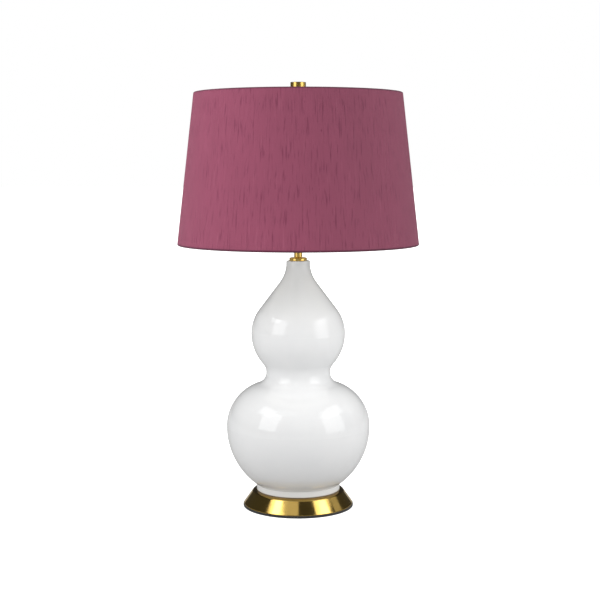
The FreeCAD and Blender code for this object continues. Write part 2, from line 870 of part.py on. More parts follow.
def glass_outline(inset):
    """Arcs of the bulb from its neck to its top, moved inwards by inset."""
    centre_z = bulb_top - bulb_r
    hollow_r = glass_neck_r + bulb_neck_curve
    drop = math.sqrt((bulb_r + bulb_neck_curve)**2 - hollow_r**2)
    hollow = (hollow_r, centre_z - drop)
    meet = math.atan2(-drop, hollow_r)
    return [
        arc_edge(hollow, bulb_neck_curve + inset, math.pi, meet + math.pi),
        arc_edge((0, centre_z), bulb_r - inset, meet, math.pi / 2),
    ]


def glass_body(inset, bottom):
    arcs = glass_outline(inset)
    first = arcs[0].valueAt(arcs[0].FirstParameter)
    foot = [line_edge(Vector(0, 0, bottom), Vector(first.x, 0, bottom))]
    return spin(joined(arcs + foot))


def make_bulb_glass():
    bottom = cap_collar_z + glass_foot
    return glass_body(0.0, bottom).cut(glass_body(glass_t, bottom))


def make_bulb_stem():
    foot = cap_collar_z + stem_foot
    flare_r = glass_neck_r - glass_t - stem_gap
    return lathe([
        (0, foot),
        (flare_r, foot, stem_rim_edge),
        (flare_r, foot + stem_rim_h, stem_rim_edge),
        (stem_root_r, foot + stem_flare_h, stem_flare_fillet),
        (stem_tip_r, bulb_z + stem_top, stem_tip_edge),
        (0, bulb_z + stem_top),
    ])


def make_bulb_leads():
    leads = []
    lead_foot_z = bulb_z + stem_top + lead_r
    end_z = bulb_z + filament_height - filament_r - lead_gap
    for side in (-1, 1):
        foot = Vector(side * lead_spread, 0, lead_foot_z)
        leads.append(rod_along(lead_r, foot, Vector(side * (filament_half - lead_inset), 0, end_z)))
    return Part.makeCompound(leads)


def make_bulb_filament():
    height = bulb_z + filament_height
    return rod_along(filament_r, Vector(-filament_half, 0, height), Vector(filament_half, 0, height))


# Shade and finial

low_ring = (shade_bottom_r - roll_r, shade_bottom + roll_r)
high_ring = (shade_top_r - roll_r, shade_top - roll_r)
wall_slope = math.atan2(high_ring[1] - low_ring[1], high_ring[0] - low_ring[0])
wall_out = wall_slope - math.pi / 2


def make_ring(place):
    return Part.makeTorus(place[0], ring_wire_r, Vector(0, 0, place[1]))


def wall_point(place, offset, along):
    """Point at an offset outwards and a distance up the wall from a ring's centre."""
    return Vector(
        place[0] + offset * math.cos(wall_out) + along * math.cos(wall_slope),
        0,
        place[1] + offset * math.sin(wall_out) + along * math.sin(wall_slope),
    )


def make_shade_liner():
    outer = ring_wire_r
    inner = ring_wire_r - shade_liner_t
    end = math.sqrt(ring_wire_r**2 - inner**2) + 2 * laid_gap
    corners = [
        wall_point(low_ring, inner, end),
        wall_point(low_ring, outer, end),
        wall_point(high_ring, outer, -end),
        wall_point(high_ring, inner, -end),
    ]
    return spin(Part.Face(Part.makePolygon(corners + corners[:1])))


def hem_end(place, radius, turn, upward):
    """End of the hem that leaves the roll at an angle and closes on the liner."""
    heading = turn + math.copysign(math.pi / 2, upward)
    return on_circle(place, radius, turn) + Vector(math.cos(heading), 0, math.sin(heading)) * hem_length


def make_shade_cloth():
    """Cloth over the liner, rolled round both rings with a short hem inside."""
    inner_r = roll_r - cloth_t
    past = math.pi + math.radians(hem_turn)
    high_turn = wall_out + past
    low_turn = wall_out - past
    section = joined([
        line_edge(wall_point(low_ring, roll_r, 0), wall_point(high_ring, roll_r, 0)),
        arc_edge(high_ring, roll_r, wall_out, high_turn),
        line_edge(hem_end(high_ring, roll_r, high_turn, 1), hem_end(high_ring, inner_r, high_turn, 1)),
        arc_edge(high_ring, inner_r, high_turn, wall_out),
        line_edge(wall_point(high_ring, inner_r, 0), wall_point(low_ring, inner_r, 0)),
        arc_edge(low_ring, inner_r, wall_out, low_turn),
        line_edge(hem_end(low_ring, inner_r, low_turn, -1), hem_end(low_ring, roll_r, low_turn, -1)),
        arc_edge(low_ring, roll_r, low_turn, wall_out),
    ])
    cloth = spin(section)
    for notch in spider_rods(spider_arm_r + notch_gap, high_ring[0] + ring_wire_r):
        cloth = cloth.cut(notch)
    return cloth


def spider_rods(radius, reach):
    """The spider's arms, from the hub's rim out to a reach, as bars of a radius."""
    hub_mid = hub_z + spider_hub_t / 2
    run = high_ring[0] - spider_elbow_r
    climb = math.atan2(high_ring[1] - hub_mid, run)
    setback = spider_elbow_curve * math.tan(climb / 2)
    bend = (spider_elbow_r - setback, hub_mid + spider_elbow_curve)
    down = -math.pi / 2
    out = Vector(reach, 0, hub_mid + (reach - spider_elbow_r) * math.tan(climb))
    path = [
        line_edge(Vector(spider_hub_r + laid_gap, 0, hub_mid), Vector(bend[0], 0, hub_mid)),
        arc_edge(bend, spider_elbow_curve, down, down + climb),
        line_edge(on_circle(bend, spider_elbow_curve, down + climb), out),
    ]
    arm = wire_bar(path, radius)
    arms = []
    for i in range(spider_arms_count):
        turned = arm.copy()
        turned.rotate(Vector(0, 0, 0), Vector(0, 0, 1), spider_first_angle + 360.0 * i / spider_arms_count)
        arms.append(turned)
    return arms


def make_spider_arms():
    reach = high_ring[0] - ring_wire_r - 4 * laid_gap
    return Part.makeCompound(spider_rods(spider_arm_r, reach))


def make_spider_hub():
    return sleeve(spider_hub_r, stud_r + slip_gap, hub_z, hub_top, spider_hub_edge)


def make_finial():
    """Drum on a waisted foot, bored for the harp's stud."""
    drum_z = finial_top - finial_drum_h
    bore_r = stud_r + turning_gap
    bore_top = hub_top + stud_grip + finial_bore_room
    foot_top = hub_top + finial_foot_h
    return lathe([
        (bore_r, hub_top),
        (finial_foot_r, hub_top, finial_foot_edge),
        (finial_foot_r, foot_top, 2 * finial_foot_edge),
        (finial_neck_r, foot_top + finial_ankle_h, finial_ankle_fillet),
        (finial_neck_r, drum_z - finial_flare_h, finial_flare_fillet),
        (finial_r, drum_z, finial_edge),
        (finial_r, finial_top, finial_edge),
        (0, finial_top),
        (0, bore_top),
        (bore_r, bore_top),
    ])


pieces = {
    "felt_pad": make_felt_pad,
    "plinth": make_plinth,
    "cord_bushing": make_cord_bushing,
    "clamp_plate": make_clamp_plate,
    "lock_washer": make_lock_washer,
    "clamp_nut": make_clamp_nut,
    "lamp_rod": make_lamp_rod,
    "foot_gasket": make_foot_gasket,
    "ceramic_body": make_ceramic_body,
    "neck_bush": make_neck_bush,
    "vase_cap": make_vase_cap,
    "neck_tube": make_neck_tube,
    "harp_saddle": make_harp_saddle,
    "saddle_washer": make_saddle_washer,
    "holder_cap": make_holder_cap,
    "holder_set_screw": make_set_screw,
    "holder_shell": make_holder_shell,
    "holder_liner": make_holder_liner,
    "holder_core": make_holder_core,
    "terminal_screws": make_terminal_screws,
    "screw_shell": make_screw_shell,
    "centre_contact": make_centre_contact,
    "switch_spindle": make_key_spindle,
    "switch_knob": make_key_knob,
    "bulb_tip": make_bulb_tip,
    "bulb_insulator": make_bulb_insulator,
    "bulb_cap": make_bulb_cap,
    "bulb_glass": make_bulb_glass,
    "bulb_stem": make_bulb_stem,
    "bulb_leads": make_bulb_leads,
    "bulb_filament": make_bulb_filament,
    "harp_wire": make_harp_wire,
    "harp_stud": make_harp_stud,
    "ferrule_left": lambda: make_ferrule(-1),
    "ferrule_right": lambda: make_ferrule(1),
    "bottom_ring": lambda: make_ring(low_ring),
    "top_ring": lambda: make_ring(high_ring),
    "spider_hub": make_spider_hub,
    "spider_arms": make_spider_arms,
    "shade_liner": make_shade_liner,
    "shade_cloth": make_shade_cloth,
    "finial": make_finial,
}

os.makedirs("parts", exist_ok=True)
for name, make in pieces.items():
    shape = make()
    shape.exportStep("parts/" + name + ".step")
    print(name, "solids", len(shape.Solids), "valid", shape.isValid(), "volume", round(shape.Volume, 1))
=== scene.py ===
import json
import math

import bmesh
import bpy
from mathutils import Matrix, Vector, noise


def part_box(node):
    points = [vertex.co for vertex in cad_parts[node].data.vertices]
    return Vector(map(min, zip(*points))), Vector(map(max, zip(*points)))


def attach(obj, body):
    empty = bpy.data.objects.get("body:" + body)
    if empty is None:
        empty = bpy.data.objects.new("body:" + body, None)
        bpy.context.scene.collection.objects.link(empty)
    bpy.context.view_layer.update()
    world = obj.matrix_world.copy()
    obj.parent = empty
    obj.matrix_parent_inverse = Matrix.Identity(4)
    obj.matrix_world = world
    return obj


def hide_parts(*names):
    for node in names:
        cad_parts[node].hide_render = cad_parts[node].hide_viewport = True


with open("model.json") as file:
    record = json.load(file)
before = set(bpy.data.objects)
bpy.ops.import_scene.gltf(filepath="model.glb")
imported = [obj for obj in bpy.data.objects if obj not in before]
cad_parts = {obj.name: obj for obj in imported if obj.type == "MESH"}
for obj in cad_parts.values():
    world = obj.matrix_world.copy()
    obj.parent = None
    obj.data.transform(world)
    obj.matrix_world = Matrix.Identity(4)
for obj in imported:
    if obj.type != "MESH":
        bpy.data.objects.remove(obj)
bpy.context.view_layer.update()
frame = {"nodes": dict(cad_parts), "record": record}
print("frame loaded:", len(frame["nodes"]), "nodes")


class Flow:
    # a node socket that takes Python's own operators
    def __init__(self, tree, socket=None):
        self.tree = tree
        self.socket = socket

    def node(self, kind, settings=None, inputs=None, out=0):
        # any node: its settings come first, then its sockets' values or links
        made = self.tree.nodes.new(kind)
        for name, value in (settings or {}).items():
            setattr(made, name, value)
        for name, value in (inputs or {}).items():
            if isinstance(value, Flow):
                self.tree.links.new(value.socket, made.inputs[name])
            else:
                made.inputs[name].default_value = value
        return Flow(self.tree, made.outputs[out]) if made.outputs else None

    def pair(self, operation, first, second):
        # colours go through Mix, vectors through Vector Math, and the rest through Math
        kinds = [part.socket.type for part in (first, second) if isinstance(part, Flow)]
        if "RGBA" in kinds:
            first, second = [self.spread(part, 4) for part in (first, second)]
            return self.node("ShaderNodeMix", {"data_type": "RGBA", "blend_type": operation},
                             {0: 1.0, 6: first, 7: second}, out=2)
        if "VECTOR" in kinds:
            first, second = [self.spread(part, 3) for part in (first, second)]
            return self.node("ShaderNodeVectorMath", {"operation": operation},
                             {0: first, 1: second})
        return self.node("ShaderNodeMath", {"operation": operation}, {0: first, 1: second})

    def spread(self, part, size):
        # a number as a grey colour or an even vector
        if isinstance(part, (int, float)):
            return [part] * 3 + [1.0] * (size - 3)
        return part

    def __add__(self, other):
        return self.pair("ADD", self, other)

    def __radd__(self, other):
        return self.pair("ADD", other, self)

    def __sub__(self, other):
        return self.pair("SUBTRACT", self, other)

    def __rsub__(self, other):
        return self.pair("SUBTRACT", other, self)

    def __mul__(self, other):
        return self.pair("MULTIPLY", self, other)

    def __rmul__(self, other):
        return self.pair("MULTIPLY", other, self)

    def __pow__(self, other):
        return self.pair("POWER", self, other)

    def __rpow__(self, other):
        return self.pair("POWER", other, self)

    def pick(self, first, second):
        # the first colour where this is 0, and the second where it is 1
        return self.node("ShaderNodeMix", {"data_type": "RGBA"},
                         {0: self, 6: first, 7: second}, out=2)

    def toward(self, other, factor):
        # this colour, changing to another where the factor is 1
        return factor.pick(self, other)

    def between(self, low, high):
        # 0 below low, 1 above high, and smooth from one to the other
        return self.node("ShaderNodeMapRange", {"interpolation_type": "SMOOTHSTEP"},
                         {"Value": self, "From Min": low, "From Max": high})


def startPaint(name):
    material = bpy.data.materials.new(name)
    material.use_nodes = True
    material.node_tree.nodes.clear()
    return material, Flow(material.node_tree)


def endPaint(start, sockets):
    shader = start.node("ShaderNodeBsdfPrincipled", None, sockets)
    start.node("ShaderNodeOutputMaterial", None, {"Surface": shader})


def rgb(colour):
    return (colour[0], colour[1], colour[2], 1.0)


def restPlace(start):
    # the place in the frame at rest, in metres
    return start.node("ShaderNodeTexCoord", out="Object")


def axesOf(place):
    return [place.node("ShaderNodeSeparateXYZ", None, {"Vector": place}, out=i) for i in range(3)]


def reachOf(x, y):
    # distance from the lamp's axis
    return (x * x + y * y) ** 0.5


def turnOf(x, y):
    # the way round the axis from the front, in radians
    return x.node("ShaderNodeMath", {"operation": "ARCTAN2"}, {0: x, 1: 0 - y})


def stretched(x, y, z):
    return x.node("ShaderNodeCombineXYZ", None, {"X": x, "Y": y, "Z": z})


def grain(vector, scale, detail, roughness):
    return vector.node("ShaderNodeTexNoise", {"noise_dimensions": "3D"}, {
        "Vector": vector, "Scale": scale, "Detail": detail, "Roughness": roughness})


def bumped(height, depth, under=None):
    # a relief of that many metres, on another one where it is given
    sockets = {"Height": height, "Strength": 1.0, "Distance": depth}
    if under is not None:
        sockets["Normal"] = under
    return height.node("ShaderNodeBump", None, sockets)


glaze = {
    "colour": (0.845, 0.848, 0.850),
    "pooled": (0.79, 0.80, 0.81),
    "pooledShare": 0.35,
    "foot": (0.86, 0.855, 0.835),
    "bisque": (0.74, 0.69, 0.60),
    "footLine": (0.0376, 0.0384),    # heights over which the foot turns into glaze
    "bareLine": (0.0290, 0.0296),    # and the bare clay into the foot's colour
    "lineWander": 0.0012,
    "roughness": 0.045,
    "cloudRoughness": 0.02,
    "bareRoughness": 0.6,
    # a grain is the noise's scale, detail and roughness; a range is where it starts and is full
    "cloudGrain": (14.0, 3.0, 0.55),
    "cloudRange": (0.38, 0.68),
    "pinholeGrain": (900.0, 1.0, 0.5),
    "pinholeRange": (0.74, 0.80),
    "pinholeDark": 0.12,
    "wanderGrain": (90.0, 2.0, 0.5),
    "rippleGrain": (26.0, 1.0, 0.4),
    "rippleHeight": 0.6,             # heights count for less, so ripples are taller than wide
    "ripple": 0.00016,
    "peelGrain": (420.0, 2.0, 0.5),
    "peel": 0.000012,
    "shader": {"IOR": 1.52, "Coat Weight": 0.25, "Coat Roughness": 0.03, "Coat IOR": 1.5},
}


def paintGlaze():
    material, start = startPaint("whiteGlaze")
    place = restPlace(start)
    x, y, z = axesOf(place)
    clouds = grain(place, *glaze["cloudGrain"]).between(*glaze["cloudRange"])
    pinholes = grain(place, *glaze["pinholeGrain"]).between(*glaze["pinholeRange"])
    wander = (grain(place, *glaze["wanderGrain"]) - 0.5) * glaze["lineWander"]
    footMask = 1 - (z + wander).between(*glaze["footLine"])
    bareMask = 1 - (z + wander).between(*glaze["bareLine"])
    colour = (clouds * glaze["pooledShare"]).pick(rgb(glaze["colour"]), rgb(glaze["pooled"]))
    colour = colour.toward(rgb(glaze["foot"]), footMask).toward(rgb(glaze["bisque"]), bareMask)
    colour = colour * (1 - pinholes * glaze["pinholeDark"])
    roughness = glaze["roughness"] + clouds * glaze["cloudRoughness"]
    ripple = grain(stretched(x, y, z * glaze["rippleHeight"]), *glaze["rippleGrain"])
    peel = grain(place, *glaze["peelGrain"])
    endPaint(start, {
        "Base Color": colour,
        "Roughness": roughness + bareMask * glaze["bareRoughness"],
        "Normal": bumped(peel, glaze["peel"], bumped(ripple, glaze["ripple"])),
        **glaze["shader"],
    })
    return material


brass = {
    "colour": (0.83, 0.567, 0.155),
    "warm": (0.76, 0.475, 0.125),
    "warmShare": 0.4,
    # painted shade on the plinth's shoulder: a dark brown, and how much of it
    "ledgeShade": (0.26, 0.155, 0.045),
    "ledgeShadeShare": 0.8,
    "ledge": (0.0236, 0.0272),       # the plinth's shoulder under the ceramic's foot, darkened as painted shade
    "ledgeEnd": (0.0312, 0.0322),
    # name: (roughness, what wiping marks add to it)
    "finishes": {
        "polishedBrass": (0.085, 0.07),
        "brushedBrass": (0.24, 0.08),
        "platedBrass": (0.36, 0.10),
    },
    # lathe marks run round the axis, so they change with height and reach, and hardly with turn
    "markGrain": (5200.0, 3.0, 0.6),
    "markTurn": 0.0006,
    "markBase": 0.97,
    "markColour": 0.06,
    "markRoughness": 0.03,
    "markDepth": 0.0000022,
    "cloudGrain": (45.0, 3.0, 0.6),
    "cloudRange": (0.35, 0.7),
    "wipeGrain": (60.0, 2.0, 0.55),
    "wipeRange": (0.4, 0.75),
    "wipeTurn": 0.02,
    "wipeHeight": 0.6,
}


def paintBrass(name):
    roughness, smudge = brass["finishes"][name]
    material, start = startPaint(name)
    place = restPlace(start)
    x, y, z = axesOf(place)
    reach, turn = reachOf(x, y), turnOf(x, y)
    marks = grain(stretched(reach, z, turn * brass["markTurn"]), *brass["markGrain"])
    cloud = grain(place, *brass["cloudGrain"]).between(*brass["cloudRange"])
    wiped = stretched(turn * brass["wipeTurn"], z * brass["wipeHeight"], reach)
    wipe = grain(wiped, *brass["wipeGrain"]).between(*brass["wipeRange"])
    colour = (cloud * brass["warmShare"]).pick(rgb(brass["colour"]), rgb(brass["warm"]))
    colour = colour * (brass["markBase"] + marks * brass["markColour"])
    # painted shade: the shoulder under the ceramic's foot is darkened toward dark brown
    ledge = z.between(*brass["ledge"]) * (1 - z.between(*brass["ledgeEnd"]))
    endPaint(start, {
        "Base Color": colour.toward(rgb(brass["ledgeShade"]), ledge * brass["ledgeShadeShare"]),
        "Metallic": 1.0,
        "Roughness": roughness + wipe * smudge + marks * brass["markRoughness"],
        "Normal": bumped(marks, brass["markDepth"]),
    })
    return material


# each finish by its slot: material, colour, second colour, roughness, metallic,
# grain scale, grain depth in metres
plain = {
    "black_plastic": ("blackPlastic", (0.022, 0.022, 0.023), (0.035, 0.034, 0.033),
                      0.36, 0.0, 1400.0, 0.000010),
    "zinc_steel": ("zincSteel", (0.60, 0.61, 0.63), (0.46, 0.47, 0.49),
                   0.34, 1.0, 260.0, 0.000004),
    "clear_rubber": ("clearRubber", (0.62, 0.61, 0.57), (0.52, 0.50, 0.45),
                     0.46, 0.0, 600.0, 0.000012),
    "fibre_board": ("fibreBoard", (0.30, 0.215, 0.13), (0.20, 0.135, 0.075),
                    0.85, 0.0, 800.0, 0.000040),
    "bare_aluminium": ("bareAluminium", (0.80, 0.80, 0.81), (0.66, 0.66, 0.67),
                       0.30, 1.0, 500.0, 0.000004),
    "white_wire": ("whiteWire", (0.84, 0.84, 0.82), (0.76, 0.755, 0.73),
                   0.42, 0.0, 1900.0, 0.000016),
    "white_liner": ("whiteLiner", (0.87, 0.86, 0.82), (0.80, 0.785, 0.74),
                    0.58, 0.0, 350.0, 0.000014),
    "black_felt": ("blackFelt", (0.016, 0.016, 0.017), (0.034, 0.033, 0.033),
                   0.95, 0.0, 1100.0, 0.000220),
}

plainGrain = {
    "fine": (3.0, 0.6),              # detail and roughness of the noise
    "fineBase": 0.92,
    "fineColour": 0.16,
    "fineRoughness": 0.03,
    "broadSize": 18,                 # times as coarse as the fine grain
    "broad": (3.0, 0.6),
    "broadRange": (0.35, 0.7),
    "broadShare": 0.6,
    "wornSize": 5,
    "worn": (2.0, 0.6),
    "wornRange": (0.45, 0.8),
    "wornRoughness": 0.09,
    "polish": 0.04,                  # how much smoother the unworn parts are
    "shader": {"black_felt": {"Sheen Weight": 0.15, "Sheen Roughness": 0.6}},
}


def paintPlain(slot):
    name, colour, second, roughness, metallic, scale, depth = plain[slot]
    material, start = startPaint(name)
    place = restPlace(start)
    fine = grain(place, scale, *plainGrain["fine"])
    broad = grain(place, scale / plainGrain["broadSize"], *plainGrain["broad"])
    broad = broad.between(*plainGrain["broadRange"])
    worn = grain(place, scale / plainGrain["wornSize"], *plainGrain["worn"])
    worn = worn.between(*plainGrain["wornRange"]) * plainGrain["wornRoughness"]
    mixed = (broad * plainGrain["broadShare"]).pick(rgb(colour), rgb(second))
    endPaint(start, {
        "Base Color": mixed * (plainGrain["fineBase"] + fine * plainGrain["fineColour"]),
        "Metallic": metallic,
        "Roughness": roughness - plainGrain["polish"] + worn + fine * plainGrain["fineRoughness"],
        "Normal": bumped(fine, depth),
        **plainGrain["shader"].get(slot, {}),
    })
    return material


glass = {
    # name: (colour, roughness, how much light it lets through)
    "frostedGlass": ((0.92, 0.92, 0.90), 0.38, 0.30),
    "clearGlass": ((0.96, 0.97, 0.97), 0.03, 1.0),
    "mistGrain": (180.0, 3.0, 0.6),
    "mistDark": 0.97,
    "mistShare": 0.5,
    "mistRoughness": 0.05,
    "mistDepth": 0.00001,
    "shader": {"IOR": 1.5, "Coat Weight": 0.4, "Coat Roughness": 0.05},
}


def paintGlass(name):
    colour, roughness, through = glass[name]
    material, start = startPaint(name)
    mist = grain(restPlace(start), *glass["mistGrain"])
    dark = rgb([channel * glass["mistDark"] for channel in colour])
    endPaint(start, {
        "Base Color": (mist * glass["mistShare"]).pick(rgb(colour), dark),
        "Roughness": roughness + mist * glass["mistRoughness"],
        "Transmission Weight": through,
        "Normal": bumped(mist, glass["mistDepth"]),
        **glass["shader"],
    })
    return material


def dressNodes():
    paints = {slot: paintPlain(slot) for slot in plain}
    paints["white_glaze"] = paintGlaze()
    paints["polished_brass"] = paintBrass("polishedBrass")
    paints["plated_brass"] = paintBrass("platedBrass")
    paints["frosted_glass"] = paintGlass("frostedGlass")
    paints["clear_glass"] = paintGlass("clearGlass")
    # the turned pieces above the neck are duller than the spun plinth
    paints["finial"] = paints["neck_tube"] = paintBrass("brushedBrass")
    for row in frame["record"]["subparts"]:
        if row["material_slot"] in paints:
            materials = frame["nodes"][row["node"]].data.materials
            materials.clear()
            materials.append(paints.get(row["node"], paints[row["material_slot"]]))


def ringPlace(node):
    # a shade wire's reach and height, read from the frame, and half its thickness
    low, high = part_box(node)
    wire = (high.z - low.z) / 2
    return (high.x - wire, (high.z + low.z) / 2), wire


lowRing, ringWire = ringPlace("bottom_ring")
highRing = ringPlace("top_ring")[0]
meanReach = (lowRing[0] + highRing[0]) / 2

cloth = {
    "colour": (0.224, 0.0487, 0.0914),
    "dark": (0.138, 0.0192, 0.0515),
    "light": (0.277, 0.0720, 0.1200),
    # painted shade along the rolled hems: a dark plum
    "edge": (0.070, 0.013, 0.032),
    # kind of thread: (count across and up, in a metre, then the noise's start, layer,
    # detail and roughness)
    "threads": {
        "slub": (1 / 0.0027, 1 / 0.034, 0.0, 0.0, 2.0, 0.55),
        "fleck": (1 / 0.0030, 1 / 0.0100, 71.3, 4.0, 1.0, 0.5),
        "pale": (0.7 / 0.0027, 0.7 / 0.034, 0.0, 9.0, 1.0, 0.5),
        "warp": (900.0, 7.0, 0.0, 2.0, 2.0, 0.6),
        "weft": (12.0, 1500.0, 0.0, 6.0, 2.0, 0.6),
        "blotch": (22.0, 14.0, 0.0, 1.0, 2.0, 0.5),
    },
    "slubRange": (0.52, 0.74),
    "slubShare": 0.80,
    "fleckRange": (0.70, 0.84),
    "fleckShare": 0.85,
    "paleRange": (0.60, 0.80),
    "paleShare": 0.45,
    "ribPitch": 0.00042,
    "pickCloseness": 0.8,            # picks for each rib
    "tone": {"base": 0.84, "warp": 0.18, "weft": 0.08, "blotch": 0.12, "weave": 0.025},
    "edgeWidth": 0.0022,
    "edgeTop": 0.6,                  # how far up the roll the top hem's painted shade is full
    "hemShadeShare": 0.85,
    "slubDepth": 0.00018,
    "fleckDepth": 0.000108,
    "weaveDepth": 0.00005,
    "roughness": 0.62,
    "slubShine": 0.08,
    "weftRoughness": 0.06,
    "shader": {"Sheen Weight": 0.14, "Sheen Roughness": 0.45,
               "Sheen Tint": (1.0, 0.62, 0.74, 1.0), "Specular IOR Level": 0.3},
}


def paintCloth(rollRadius):
    material, start = startPaint("mulberryCloth")
    x, y, z = axesOf(restPlace(start))
    around = turnOf(x, y) * meanReach

    def threads(kind):
        across, up, begin, layer, detail, roughness = cloth["threads"][kind]
        drawn = stretched(around * across + begin, z * up, layer)
        return grain(drawn, 1.0, detail, roughness)   # the scale is in the counts already

    def ribs(along, pitch):
        return start.node("ShaderNodeMath", {"operation": "SINE"}, {0: along * pitch})

    slubMask = threads("slub").between(*cloth["slubRange"])
    fleckMask = threads("fleck").between(*cloth["fleckRange"])
    paleMask = threads("pale").between(*cloth["paleRange"])
    warp, weft, blotch = threads("warp"), threads("weft"), threads("blotch")
    pitch = 2 * math.pi / cloth["ribPitch"]
    weave = ribs(around, pitch) * ribs(z, pitch * cloth["pickCloseness"])
    tone = cloth["tone"]
    shade = tone["base"] + warp * tone["warp"] + weft * tone["weft"]
    shade = shade + blotch * tone["blotch"] + weave * tone["weave"]
    colour = (slubMask * cloth["slubShare"]).pick(rgb(cloth["colour"]), rgb(cloth["dark"]))
    colour = colour.toward(rgb(cloth["light"]), paleMask * cloth["paleShare"])
    colour = colour.toward(rgb(cloth["dark"]), fleckMask * cloth["fleckShare"])
    colour = colour * shade
    # painted shade: a dark band along the bottom and top hems, over the rolls
    edge = cloth["edgeWidth"]
    lowHemShade = 1 - z.between(lowRing[1] - rollRadius + edge, lowRing[1] + edge)
    highHemShade = z.between(highRing[1] - edge / 2, highRing[1] + rollRadius * cloth["edgeTop"])
    hemShade = (lowHemShade + highHemShade) * cloth["hemShadeShare"]
    height = slubMask * cloth["slubDepth"] + fleckMask * cloth["fleckDepth"]
    height = height + (warp + weave) * cloth["weaveDepth"]
    endPaint(start, {
        "Base Color": colour.toward(rgb(cloth["edge"]), hemShade),
        "Roughness": cloth["roughness"] - slubMask * cloth["slubShine"]
        + weft * cloth["weftRoughness"],
        "Normal": bumped(height, 1.0),   # the height is in metres already
        **cloth["shader"],
    })
    return material


shadeCloth = {
    "thickness": 0.00045,
    "gap": 0.00005,
    "hemTurn": 35.0,                 # degrees past a half circle
    "hem": 0.0036,
    "hemSteps": 3,
    "wallSteps": 46,
    "rollSteps": 16,
    "stations": 480,
    "stationRoom": 0.3,              # share of a step kept clear beside an added station
    "seamAngle": 90.0,               # at the back
    "seamWidth": 0.012,
    "seamStep": 0.00038,
    "seamEdge": 0.06,                # degrees over which the lap ends
    "lapStart": 2.5,                 # in half widths of the seam, before its middle
    "lapRise": 2.0,
    "pucker": 0.00007,
    "puckerScale": 70.0,
    "lapFade": 2,                    # points over which the lap grows from either roll
    "snip": 0.0019,                  # half the snip that lets a spider arm through the hem
    "snipSlack": 0.001,              # degrees, for rounding
    "armAngles": (90.0, 210.0, 330.0),
}

seamHalf = math.degrees(shadeCloth["seamWidth"] / 2 / meanReach)
snipHalf = math.degrees(shadeCloth["snip"] / highRing[0])


def clothProfile():
    # points (reach, height) from the bottom hem's end, up the wall, to the top hem's end,
    # then the number of the wall's first point and how many steps the wall has
    slope = math.atan2(highRing[1] - lowRing[1], highRing[0] - lowRing[0])
    out = slope - math.pi / 2
    radius = ringWire + shadeCloth["gap"] + shadeCloth["thickness"] / 2
    past = math.pi + math.radians(shadeCloth["hemTurn"])
    steps = shadeCloth["rollSteps"]
    hemSteps = shadeCloth["hemSteps"]

    def onRoll(ring, angle):
        return (ring[0] + radius * math.cos(angle), ring[1] + radius * math.sin(angle))

    def hemFrom(ring, turn, side):
        # the cloth's straight end, past the roll
        start = onRoll(ring, turn)
        heading = turn + side * math.pi / 2
        return [(start[0] + math.cos(heading) * shadeCloth["hem"] * part / hemSteps,
                 start[1] + math.sin(heading) * shadeCloth["hem"] * part / hemSteps)
                for part in range(1, hemSteps + 1)]

    lowHem = hemFrom(lowRing, out - past, -1)
    highHem = hemFrom(highRing, out + past, 1)
    low = [onRoll(lowRing, out - past * (1 - i / steps)) for i in range(steps + 1)]
    high = [onRoll(highRing, out + past * i / steps) for i in range(steps + 1)]
    wall = []
    for i in range(1, shadeCloth["wallSteps"]):
        share = i / shadeCloth["wallSteps"]
        wall.append(tuple(a + (b - a) * share for a, b in zip(low[-1], high[0])))
    points = lowHem[::-1] + low + wall + high + highHem
    return points, len(lowHem) + len(low) - 1, len(wall) + 1


def clothAngles():
    # even stations, with the snips' own edges and the seam's step put in
    extra = []
    for arm in shadeCloth["armAngles"]:
        extra += [arm - snipHalf, arm + snipHalf]
    lapEnd = shadeCloth["seamAngle"] + seamHalf
    extra += [lapEnd, lapEnd + shadeCloth["seamEdge"]]
    step = 360 / shadeCloth["stations"]
    even = [i * step for i in range(shadeCloth["stations"])]
    room = step * shadeCloth["stationRoom"]
    kept = [a for a in even if all(abs(a - b) > room for b in extra)]
    return sorted(kept + extra)


def seamLift(angle):
    # the lap rises gently on one side of the seam and ends in a step on the other
    offset = angle - shadeCloth["seamAngle"]
    lapStart = shadeCloth["lapStart"] * seamHalf
    if -lapStart < offset <= seamHalf:
        risen = (offset + lapStart) / (shadeCloth["lapRise"] * seamHalf)
        return shadeCloth["seamStep"] * min(1.0, risen)
    return 0.0


def addClothFaces(mesh, columns, angles, profile, topStart):
    # every face but those of the snips in the top hem
    near = snipHalf + shadeCloth["snipSlack"]
    armLow = highRing[1] - shadeCloth["snip"]
    armHigh = highRing[1] + shadeCloth["snip"]
    for k, column in enumerate(columns):
        following = columns[(k + 1) % len(columns)]
        first, second = angles[k], angles[(k + 1) % len(angles)]
        snipped = any(abs(first - arm) < near and abs(second - arm) < near
                      for arm in shadeCloth["armAngles"])
        for i in range(len(profile) - 1):
            middle = (profile[i][1] + profile[i + 1][1]) / 2
            if snipped and i >= topStart and armLow < middle < armHigh:
                continue
            mesh.faces.new((column[i], following[i], following[i + 1], column[i + 1]))


